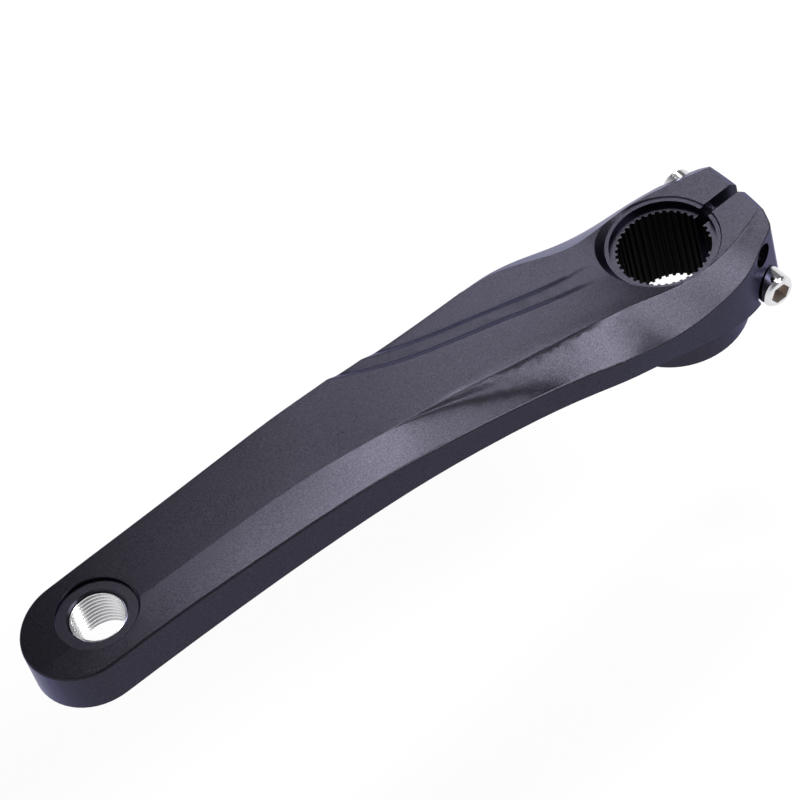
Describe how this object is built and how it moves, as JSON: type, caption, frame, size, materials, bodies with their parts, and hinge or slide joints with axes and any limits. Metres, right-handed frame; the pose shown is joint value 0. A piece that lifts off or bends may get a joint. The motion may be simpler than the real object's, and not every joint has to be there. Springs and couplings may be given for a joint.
{
  "type": "bicycle crank arm",
  "caption": "Left bicycle crank arm with a splined pinch clamp for a hollow spindle, pinch bolts from both sides and a threaded pedal eye.",
  "frame": {"origin": "on the spindle axis, in the inner face of the boss", "axes": "+X from the spindle axis towards the pedal axis, +Z along the spindle axis towards the outer face, +Y across the arm"},
  "size_m": [0.2151, 0.0451, 0.0416],
  "materials": {
    "anodised_aluminium": "fine-grained satin black anodised",
    "bright_steel": "bright plated"
  },
  "bodies": {
    "root": {"crank_arm": "anodised_aluminium", "near_pinch_bolt": "bright_steel", "far_pinch_bolt": "bright_steel"}
  },
  "joints": []
}
